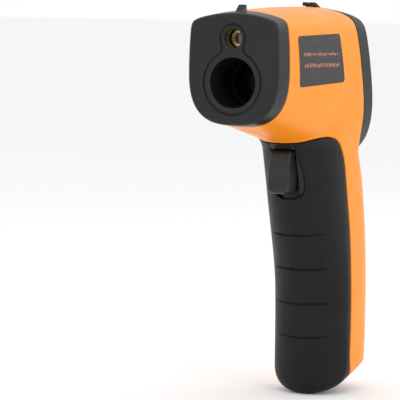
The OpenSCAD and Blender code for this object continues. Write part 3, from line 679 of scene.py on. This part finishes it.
# ---- Print on the labels, as side-view outlines (x, z) ----
left_print = (mark_row(-20.6, -51, 10.3, 11.7, (9, 7, 6, 8, 5), 3)
              + mark_row(-21.2, -53, 5.9, 7.5, (3, 5, 4, 3, 5, 4, 3), 8))
right_print = [rectangle(-24 - 7.6 * c - (1.7 + 1.1 * (r % 2)), -24 - 7.6 * c, z, z + 0.9)
               for r, z in enumerate((15.4, 13.7, 11.3, 9.6)) for c in range(4)]
right_print += [rectangle(-52, -22.6, 12.9, 13.1)]
right_print += [rectangle(-44 - 0.8 * k, -26, z, z + 0.35)
                for k, z in enumerate((6.6, 5.3, 4, 2.7))]
right_mark = [rectangle(-54.6, -50.4, 1, 2.8), rectangle(-51.4, -50.8, 5.2, 9.4)]


# ---- Display contents, as outlines (u, v) on the display face ----
def digit(u0, v0, w, h, lit, t=1.15, lean=0.05):
    """Seven-segment digit; lit holds the letters a to g of the segments that are drawn."""
    m = v0 + h / 2
    bars = {"a": (0, v0 + h, w, v0 + h), "g": (0, m, w, m), "d": (0, v0, w, v0),
            "f": (0, m, 0, v0 + h), "b": (w, m, w, v0 + h), "e": (0, v0, 0, m), "c": (w, v0, w, m)}
    shapes = []
    for key in lit:
        a0, b0, a1, b1 = bars[key]
        p, q = np.array([u0 + a0, b0]), np.array([u0 + a1, b1])
        along = (q - p) / np.linalg.norm(q - p)
        across = np.array([-along[1], along[0]]) * t / 2
        p, q = p + along * 0.08, q - along * 0.08
        line = [p, p + along * t / 2 - across, q - along * t / 2 - across, q,
                q - along * t / 2 + across, p + along * t / 2 + across]
        shapes.append([[a + lean * (b - v0), b] for a, b in line])
    return shapes


def ring_marks(u, v, r, thick, start=0, end=360, n=14):
    """A ring or arc as a run of short plates."""
    a = np.radians(np.linspace(start, end, n + 1))
    return [[[u + reach * math.cos(t), v + reach * math.sin(t)] for reach, t in
             ((r, p), (r, q), (r - thick, q), (r - thick, p))] for p, q in zip(a, a[1:])]


dark_segments = digit(-4.5, 1.4, 4.2, 9, "abged") + digit(1.3, 1.4, 4.2, 9, "abcdfg")
dark_segments += [rectangle(6, 7, 0.9, 1.9)] + digit(7.6, 1.2, 2.3, 4.5, "abged", t=0.8)
dark_segments += ring_marks(8.1, 9.9, 0.75, 0.35) + ring_marks(9.6, 8.3, 1.1, 0.4, 50, 310)
dark_segments += [rectangle(-9.8, -5.2, 16.2, 18)]
dark_segments += ring_marks(5.6, 17.4, 0.95, 0.25) + [rectangle(5.2, 6, 15.2, 16.2)]
ghost_segments = digit(-10.2, 1.4, 4.2, 9, "abcdefg") + digit(-4.5, 1.4, 4.2, 9, "cf")
ghost_segments += digit(1.3, 1.4, 4.2, 9, "e")
ghost_segments += [rectangle(-4.2, 0.2, z, z + 0.7) for z in (16.2, 17.3)]
ghost_segments += [rectangle(1.2, 3.8, 16.2, 16.8), rectangle(7.4, 10, 16.4, 17),
                   rectangle(7.6, 9.8, 13.2, 13.8)]


def on_key(name):
    """Places (u, v), from the key's centre, on its crowned top."""
    key_u, key_v = KEYS[name][:2]

    def place(u, v, height):
        return from_rear(u + key_u, v + key_v, key_top(name, u, v) + height)
    return place


DOT = [[0.35 * math.cos(t), 0.35 * math.sin(t)] for t in np.linspace(0, 2 * math.pi, 9)[:-1]]
RAY = ((0.6, -0.28), (1.35, -0.1), (1.35, 0.1), (0.6, 0.28))  # radius, angle
KEY_MARKS = {
    "laser_key": [DOT] + [[[r * math.cos(t + e), r * math.sin(t + e)] for r, e in RAY]
                          for t in np.radians(range(0, 360, 60))],
    "backlight_key": ring_marks(0, 0.35, 0.95, 0.28, -50, 230)
    + [rectangle(-0.45, 0.45, -0.75, -0.45), rectangle(-0.35, 0.35, -1.2, -0.95)],
    "unit_key": ring_marks(-1.5, 0.5, 0.5, 0.22)
    + [[[-0.5, -1.2], [-0.15, -1.2], [0.5, 1.2], [0.15, 1.2]]]
    + ring_marks(1.5, -0.4, 0.5, 0.22)}


# ---- Materials ----
class Tree:
    """Short way to write a material's nodes."""

    def __init__(self, name):
        self.material = bpy.data.materials.new(name)
        self.material.use_nodes = True
        self.nodes, self.links = self.material.node_tree.nodes, self.material.node_tree.links
        self.bsdf = self.nodes["Principled BSDF"]
        self.coords = self.add("ShaderNodeTexCoord").outputs["Object"]

    def add(self, kind, inputs=None, **settings):
        """A new node with its inputs linked or set."""
        node = self.nodes.new(kind)
        for key, value in settings.items():
            setattr(node, key, value)
        for key, value in (inputs or {}).items():
            self.put(node.inputs[key], value)
        return node

    def put(self, socket, value):
        if isinstance(value, bpy.types.NodeSocket):
            self.links.new(value, socket)
        else:
            socket.default_value = value

    def set(self, **inputs):
        """Inputs of the shader, with _ for the spaces in their names."""
        for key, value in inputs.items():
            self.put(self.bsdf.inputs[key.replace("_", " ")], value)

    def noise(self, per_mm, detail=3.0, stretch=(1, 1, 1), distortion=0.0):
        scale = tuple(1000 * per_mm * s for s in stretch)
        scaled = self.add("ShaderNodeMapping", {"Vector": self.coords, "Scale": scale})
        inputs = {"Vector": scaled.outputs[0], "Scale": 1.0, "Detail": detail,
                  "Distortion": distortion}
        return self.add("ShaderNodeTexNoise", inputs).outputs["Fac"]

    def remap(self, value, low, high, out_low, out_high):
        inputs = {"Value": value, "From Min": low, "From Max": high, "To Min": out_low,
                  "To Max": out_high}
        return self.add("ShaderNodeMapRange", inputs).outputs["Result"]

    def math(self, operation, a, b=0.0):
        return self.add("ShaderNodeMath", {0: a, 1: b}, operation=operation).outputs[0]

    def mix(self, factor, a, b):
        node = self.add("ShaderNodeMix", data_type="RGBA")
        self.put(node.inputs[0], factor)
        self.put(node.inputs[6], a)
        self.put(node.inputs[7], b)
        return node.outputs[2]

    def bump(self, height, depth_mm, under=None):
        inputs = {"Height": height, "Distance": depth_mm * MM, "Strength": 1.0}
        if under is not None:
            inputs["Normal"] = under
        return self.add("ShaderNodeBump", inputs).outputs["Normal"]


def tone(color, factor=1.0):
    """RGBA of a colour made lighter or darker."""
    return tuple(min(c * factor, 1.0) for c in color) + (1.0,)


def moulded(name, color, roughness, grain=4.0, depth=0.004, mottle=0.08, wear=0.0, **sockets):
    """Moulded plastic, rubber or paint: fine grain, slow tone shifts and lighter worn edges."""
    tree = Tree(name)
    broad = tree.remap(tree.noise(0.06, 4.0), 0.35, 0.65, 0, 1)
    shade = tree.mix(broad, tone(color, 1 - mottle), tone(color, 1 + mottle))
    if wear:
        edge = tree.add("ShaderNodeNewGeometry").outputs["Pointiness"]
        worn = tree.math("MULTIPLY", tree.remap(edge, 0.53, 0.62, 0, wear), tree.noise(0.7, 4.0))
        shade = tree.mix(worn, shade, tone([0.5 * c + 0.25 for c in color]))
    fine = tree.noise(grain, 2.0)
    smudge = tree.noise(0.11, 5.0, distortion=0.6)
    rough = tree.remap(smudge, 0.3, 0.7, roughness - 0.05, roughness + 0.06)
    tree.set(Base_Color=shade, Roughness=rough, Normal=tree.bump(fine, depth), **sockets)
    return tree.material


def surround(name, side, face):
    """Display surround: fine-grained sides and a smooth, near-black face."""
    tree = Tree(name)
    axes = tree.add("ShaderNodeSeparateXYZ", {0: tree.coords}).outputs
    dx = tree.math("ADD", axes["X"], -REAR_X * MM)
    dz = tree.math("ADD", axes["Z"], -REAR_Z * MM)
    w = tree.math("ADD", tree.math("MULTIPLY", dx, -COS_T), tree.math("MULTIPLY", dz, SIN_T))
    front = tree.remap(w, -1.9 * MM, -0.9 * MM, 0, 1)
    smudge = tree.noise(0.11, 5.0, distortion=0.6)
    shade = tree.mix(tree.remap(smudge, 0.35, 0.65, 0, 1), tone(side, 0.9), tone(side, 1.1))
    grain = tree.math("MULTIPLY", tree.noise(3.0, 2.0), tree.remap(front, 0, 1, 1, 0.06))
    uneven = tree.remap(smudge, 0.3, 0.7, -0.03, 0.05)
    rough = tree.math("ADD", tree.remap(front, 0, 1, 0.46, 0.17), uneven)
    tree.set(Base_Color=tree.mix(front, shade, tone(face)), Roughness=rough,
             Specular_IOR_Level=0.14, Normal=tree.bump(grain, 0.008))
    return tree.material


def metal(name, color, roughness, stretch=(1, 1, 12)):
    """Turned or drawn metal with fine lines."""
    tree = Tree(name)
    lines = tree.noise(1.2, 3.0, stretch)
    shade = tree.mix(tree.noise(0.15, 3.0), tone(color, 0.85), tone(color, 1.1))
    tree.set(Base_Color=shade, Metallic=1.0, Normal=tree.bump(lines, 0.003),
             Roughness=tree.remap(lines, 0.3, 0.7, roughness - 0.07, roughness + 0.09))
    return tree.material


def marbled(name, dark, light, roughness):
    """Glossy key cap with cloudy swirls under a clear coat."""
    tree = Tree(name)
    swirl = tree.noise(0.9, 6.0, distortion=1.6)
    speck = tree.noise(5.0, 3.0)
    cloudy = tree.math("ADD", swirl, tree.math("MULTIPLY", speck, 0.35))
    factor = tree.remap(cloudy, 0.5, 0.85, 0, 1)
    tree.set(Base_Color=tree.mix(factor, tone(dark), tone(light)),
             Roughness=tree.remap(speck, 0.3, 0.7, roughness, roughness + 0.08),
             Normal=tree.bump(tree.noise(0.6, 3.0), 0.01), Coat_Weight=0.5, Coat_Roughness=0.08)
    return tree.material


def liquid_crystal(name):
    """Grey-blue panel with a painted backlight glow: its colour is lighter towards its lower edge,
    and it emits a faint light of that colour.
    """
    tree = Tree(name)
    height = tree.add("ShaderNodeSeparateXYZ", {0: tree.coords}).outputs["Z"]
    low = (REAR_Z + (WINDOW_V - WINDOW_H / 2) * COS_T) * MM
    # Painted backlight glow: the panel's colour is lightest at its lower edge and darkens upwards.
    backlight_glow_fade = tree.remap(height, low, low + WINDOW_H * MM, 0, 1)
    ramp = tree.add("ShaderNodeValToRGB", {"Fac": backlight_glow_fade})
    ramp.color_ramp.elements[0].color = (0.46, 0.7, 0.78, 1)
    ramp.color_ramp.elements[1].color = (0.13, 0.21, 0.25, 1)
    middle = ramp.color_ramp.elements.new(0.26)
    middle.color = (0.17, 0.29, 0.35, 1)
    veil = tree.remap(tree.noise(0.12, 3.0), 0.3, 0.7, 0, 0.06)
    cloud = tree.mix(veil, ramp.outputs["Color"], (0.5, 0.6, 0.66, 1))
    # The faint emission in the same colour is a painted glow; the panel is not a lamp.
    tree.set(Base_Color=cloud, Roughness=tree.remap(tree.noise(3.0), 0.3, 0.7, 0.28, 0.36),
             Emission_Color=cloud, Emission_Strength=0.05,
             Normal=tree.bump(tree.noise(6.0), 0.002))
    return tree.material


def clear(name, color, roughness, see=0.985):
    """Clear sheet: mostly seen through, with a glossy face."""
    tree = Tree(name)
    through = tree.add("ShaderNodeBsdfTransparent", {"Color": tone(color)})
    rough = tree.remap(tree.noise(0.2, 4.0), 0.3, 0.7, roughness, roughness + 0.03)
    ripple = tree.bump(tree.noise(0.3, 2.0), 0.002)
    gloss = tree.add("ShaderNodeBsdfGlossy", {"Color": (1, 1, 1, 1), "Roughness": rough,
                                              "Normal": ripple})
    facing = tree.add("ShaderNodeLayerWeight", {"Blend": 0.25}).outputs["Fresnel"]
    share = tree.remap(facing, 0, 1, 1 - see, 0.6)
    both = tree.add("ShaderNodeMixShader", {0: share, 1: through.outputs[0],
                                            2: gloss.outputs[0]})
    output = tree.nodes["Material Output"]
    tree.links.new(both.outputs[0], output.inputs["Surface"])
    tree.nodes.remove(tree.bsdf)
    return tree.material


def circuit(name):
    """Green solder mask with tracks and plated pads."""
    tree = Tree(name)
    scaled = tree.add("ShaderNodeMapping", {"Vector": tree.coords, "Scale": (900, 900, 900)})
    cells = tree.add("ShaderNodeTexVoronoi", {"Vector": scaled.outputs[0], "Scale": 0.8},
                     feature="DISTANCE_TO_EDGE")
    tracks = tree.remap(cells.outputs["Distance"], 0.02, 0.1, 1, 0)
    dots = tree.add("ShaderNodeTexVoronoi", {"Vector": scaled.outputs[0], "Scale": 0.45})
    pads = tree.remap(dots.outputs["Distance"], 0.13, 0.17, 1, 0)
    mask = tree.mix(tracks, (0.02, 0.13, 0.06, 1), (0.04, 0.25, 0.11, 1))
    tree.set(Base_Color=tree.mix(pads, mask, (0.75, 0.62, 0.3, 1)),
             Metallic=tree.math("MULTIPLY", pads, 0.9),
             Roughness=tree.remap(tracks, 0, 1, 0.42, 0.3),
             Normal=tree.bump(tree.math("ADD", tracks, pads), 0.03))
    return tree.material


def printed_film(name, color):
    """Satin label film with a faint horizontal sheen."""
    tree = Tree(name)
    weave = tree.noise(2.0, 2.0, (0.2, 1, 1))
    tree.set(Base_Color=tree.mix(tree.noise(0.1, 3.0), tone(color, 0.85), tone(color, 1.15)),
             Roughness=tree.remap(weave, 0.3, 0.7, 0.42, 0.55),
             Normal=tree.bump(tree.noise(5.0), 0.002))
    return tree.material


def cell_jacket(name):
    """Shrink-wrapped cell: dark body with a copper-coloured band towards one end."""
    tree = Tree(name)
    height = tree.add("ShaderNodeSeparateXYZ", {0: tree.coords}).outputs["Z"]
    band = tree.remap(height, -66.5 * MM, -67.5 * MM, 0, 1)
    worn = tree.noise(0.8, 4.0, (1, 1, 0.3))
    dark = tree.mix(worn, (0.03, 0.03, 0.035, 1), (0.07, 0.07, 0.08, 1))
    tree.set(Base_Color=tree.mix(band, (0.55, 0.3, 0.12, 1), dark), Metallic=0.55,
             Roughness=tree.remap(worn, 0.3, 0.7, 0.28, 0.4),
             Normal=tree.bump(tree.noise(2.0), 0.004))
    return tree.material


ORANGE, CHARCOAL, RUBBER = (0.93, 0.28, 0.01), (0.008, 0.0084, 0.0093), (0.006, 0.0063, 0.0072)
# One material for each slot of the record, and one for the display surround
MATERIALS = {
    "orange_shell": moulded("orange_plastic", ORANGE, 0.36, 3.5, 0.0035, 0.03, 0.1,
                            Specular_IOR_Level=0.3, Specular_Tint=(1.0, 0.8, 0.5, 1.0)),
    "black_plastic": moulded("textured_black_plastic", CHARCOAL, 0.38, 3.0, 0.008, 0.1, 0.1,
                             Specular_IOR_Level=0.32),
    "surround": surround("display_surround", (0.028, 0.029, 0.03), (0.002, 0.002, 0.0023)),
    "window": clear("display_window_clear", (0.95, 0.97, 1.0), 0.03),
    "lcd": liquid_crystal("liquid_crystal"),
    "light_guide": moulded("milky_light_guide", (0.8, 0.84, 0.86), 0.4, 2.0, 0.004, 0.05),
    "board": circuit("circuit_board"),
    "chip_epoxy": moulded("chip_epoxy", (0.018, 0.018, 0.02), 0.5, 6.0, 0.006, 0.15),
    "marbled_key": marbled("marbled_key", (0.08, 0.083, 0.09), (0.32, 0.33, 0.35), 0.16),
    "red_key": marbled("red_key", (0.5, 0.01, 0.008), (0.78, 0.03, 0.018), 0.14),
    "switch_body": moulded("switch_housing", (0.05, 0.05, 0.055), 0.45, 5.0, 0.004, 0.12),
    "switch_stem": moulded("switch_stem", (0.12, 0.08, 0.06), 0.4, 5.0, 0.003, 0.1),
    "tube_coating": moulded("matt_black_coating", (0.004, 0.004, 0.0045), 0.7, 5.0, 0.012, 0.2,
                            Specular_IOR_Level=0.15),
    "infrared_lens": moulded("infrared_lens", (0.004, 0.0035, 0.006), 0.25, 2.0, 0.002, 0.2,
                             Specular_IOR_Level=0.3),
    "can_metal": metal("detector_can", (0.62, 0.61, 0.58), 0.3),
    "laser_brass": metal("laser_brass", (0.86, 0.6, 0.2), 0.26, (12, 1, 1)),
    "laser_glass": clear("laser_glass", (0.12, 0.06, 0.05), 0.05, 0.9),
    "trigger_plastic": moulded("trigger_plastic", (0.012, 0.0125, 0.0135), 0.34, 3.5, 0.005,
                               0.08, 0.1, Specular_IOR_Level=0.36),
    "steel": metal("bright_steel", (0.6, 0.6, 0.61), 0.28),
    "cell_jacket": cell_jacket("cell_jacket"),
    "soft_grip": moulded("soft_touch_rubber", RUBBER, 0.46, 5.0, 0.006, 0.1, 0.05,
                         Specular_IOR_Level=0.2, Sheen_Weight=0.03, Sheen_Roughness=0.4),
    "label_film": printed_film("label_film", (0.012, 0.009, 0.0085)),
    "wire_jacket": moulded("wire_jacket", (0.5, 0.03, 0.02), 0.42, 2.0, 0.01, 0.15),
}
INKS = {
    "orange_ink": moulded("orange_ink", (0.34, 0.15, 0.075), 0.5, 4.0, 0.002, 0.1),
    "grey_ink": moulded("grey_ink", (0.2, 0.19, 0.18), 0.5, 4.0, 0.002, 0.1),
    "segment_ink": moulded("segment_ink", (0.002, 0.0025, 0.004), 0.6, 4.0, 0.001, 0.1),
    "ghost_ink": moulded("ghost_ink", (0.06, 0.14, 0.22), 0.4, 4.0, 0.001, 0.08),
    "pale_ink": moulded("pale_ink", (0.75, 0.76, 0.78), 0.4, 4.0, 0.002, 0.06),
}


def dress(obj, body_name, slot, material=None, replaced=()):
    """Gives a piece its material, the slot's one unless another is given, puts it on its body and
    hides the nodes it stands for.
    """
    obj.data.materials.clear()
    obj.data.materials.append(material or MATERIALS[slot])
    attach(obj, body_name)
    if replaced:
        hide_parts(*replaced)
    return obj


# ---- Pieces ----
STEP = 0.45
FINE = 0.3


def carried_over_nodes():
    for entry in frame["record"]["subparts"]:
        node = frame["nodes"][entry["node"]]
        node.data.materials.clear()
        node.data.materials.append(MATERIALS[entry["material_slot"]])


def shells():
    low, high = (-104, 0, -127), (-8, 21.5, 30)
    for side, mirror in (("left", False), ("right", True)):
        shell = solid(side + "_shell_skin", shell_half, low, high, STEP, mirror)
        dress(shell, "housing", "orange_shell", replaced=[side + "_shell"])


def nose():
    cover = solid("nose_cover_skin", nose_cover, (-10, -21, -18), (1, 21, 31), FINE)
    dress(cover, "housing", "black_plastic", replaced=["nose_cover"])


def bezel():
    skin = rear_solid("bezel_skin", rear_bezel, (-21, -30, -13), (21, 38, 2), FINE)
    dress(skin, "housing", "black_plastic", MATERIALS["surround"], replaced=["rear_bezel"])


def grip():
    skin = solid("grip_soft_skin", grip_skin, (-100, -17, -127), (-38, 17, -18), STEP)
    dress(skin, "battery_door", "soft_grip", replaced=["grip_skin"])


def trigger():
    blade = solid("trigger_blade", trigger_blade, (-60, -6, -47), (-40, 6, -22), FINE)
    dress(blade, "trigger", "trigger_plastic", replaced=["trigger"])
    lining = solid("trigger_pocket", trigger_pocket, (-66, -9, -49), (-42, 9, -18), FINE)
    dress(lining, "housing", "black_plastic")


def keys():
    for key, (key_u, key_v, _, _) in KEYS.items():
        slot = "red_key" if key == "unit_key" else "marbled_key"
        cap = rear_solid(key + "_cap", key_cap(key), (key_u - 6, key_v - 5, -6),
                         (key_u + 6, key_v + 5, 2), FINE * 0.8)
        dress(cap, key, slot, replaced=[key])
        mark = film_object(key + "_mark", KEY_MARKS[key], 0.05, -0.1, on_key(key))
        dress(mark, key, slot, INKS["pale_ink"])


def labels():
    for name, side in (("left_label", 1), ("right_label", -1)):
        label = film_object(name + "_film", [LABEL_OUTLINE], 0.12, -0.2, side_place(side), 14)
        dress(label, "housing", "label_film", replaced=[name])
    for name, outlines, side, ink in (("left_print", left_print, 1, "orange_ink"),
                                      ("right_print", right_print, -1, "grey_ink"),
                                      ("right_mark", right_mark, -1, "orange_ink")):
        marks = film_object(name, outlines, PRINT_TOP, PRINT_BOTTOM, side_place(side))
        dress(marks, "housing", "label_film", INKS[ink])


def display():
    for name, outlines, top, ink in (("display_digits", dark_segments, 0.08, "segment_ink"),
                                     ("display_ghosts", ghost_segments, 0.06, "ghost_ink")):
        segments = film_object(name, outlines, LCD_W + top, LCD_W + 0.01, rear_place)
        dress(segments, "housing", "lcd", INKS[ink])


# ---- Stage ----
def stage_floor():
    """Wide, flat, pale floor at the object's lowest point."""
    level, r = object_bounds()[0].z, 40.0
    mesh = bpy.data.meshes.new("floor")
    mesh.from_pydata([(-r, -r, level), (r, -r, level), (r, r, level), (-r, r, level)], [],
                     [(0, 1, 2, 3)])
    floor = bpy.data.objects.new("floor", mesh)
    bpy.context.scene.collection.objects.link(floor)
    tree = Tree("pale_floor")
    shade = tree.mix(tree.noise(0.002, 3.0), (0.9, 0.9, 0.9, 1), (0.93, 0.93, 0.93, 1))
    tree.set(Base_Color=shade, Roughness=0.9)
    mesh.materials.append(tree.material)


def area_light(name, place, target, size, power):
    data = bpy.data.lights.new(name, "AREA")
    data.shape, data.size, data.size_y = "RECTANGLE", size[0], size[1]
    data.energy = power
    light = bpy.data.objects.new(name, data)
    light.location = place
    light.rotation_euler = (Vector(target) - Vector(place)).to_track_quat("-Z", "Y").to_euler()
    bpy.context.scene.collection.objects.link(light)


def studio():
    """White surroundings and four soft lights aimed at the middle of the object."""
    world = bpy.data.worlds.new("studio")
    world.use_nodes = True
    background = world.node_tree.nodes["Background"]
    background.inputs["Color"].default_value = (1, 1, 1, 1)
    background.inputs["Strength"].default_value = 1.0
    bpy.context.scene.world = world
    middle = (-0.05, 0, -0.04)
    area_light("key_light", (0.35, 0.75, 0.5), middle, (0.5, 0.5), 1.6)
    area_light("front_light", (0.9, -0.25, 0.35), middle, (0.4, 0.6), 0.6)
    area_light("top_light", (-0.1, 0.0, 0.9), middle, (0.6, 0.6), 0.8)
    area_light("back_light", (-0.8, 0.3, 0.4), middle, (0.6, 0.6), 0.8)
    bpy.context.scene.view_settings.view_transform = "Standard"


def camera():
    """Long lens in front of the nose, a little to the object's left and above."""
    azimuth, elevation, roll = (math.radians(a) for a in (27.78, 4.48, 0.91))
    target, distance = Vector((24.28, 0, -42.56)) * MM, 882.19 * MM
    back = Vector((math.cos(azimuth) * math.cos(elevation),
                   math.sin(azimuth) * math.cos(elevation), math.sin(elevation)))
    right = (-back).cross(Vector((0, 0, 1))).normalized()
    up = right.cross(-back)
    turned_right = right * math.cos(roll) + up * math.sin(roll)
    turned_up = up * math.cos(roll) - right * math.sin(roll)
    data = bpy.data.cameras.new("camera")
    data.lens, data.sensor_width = 215.7, 36
    data.clip_start, data.clip_end = 0.01, 100
    cam = bpy.data.objects.new("camera", data)
    axes = Matrix((turned_right, turned_up, back)).transposed().to_4x4()
    cam.matrix_world = Matrix.Translation(target + back * distance) @ axes
    bpy.context.scene.collection.objects.link(cam)
    bpy.context.scene.camera = cam


carried_over_nodes()
shells()
nose()
bezel()
grip()
trigger()
keys()
labels()
display()
camera()
studio()
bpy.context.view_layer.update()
stage_floor()
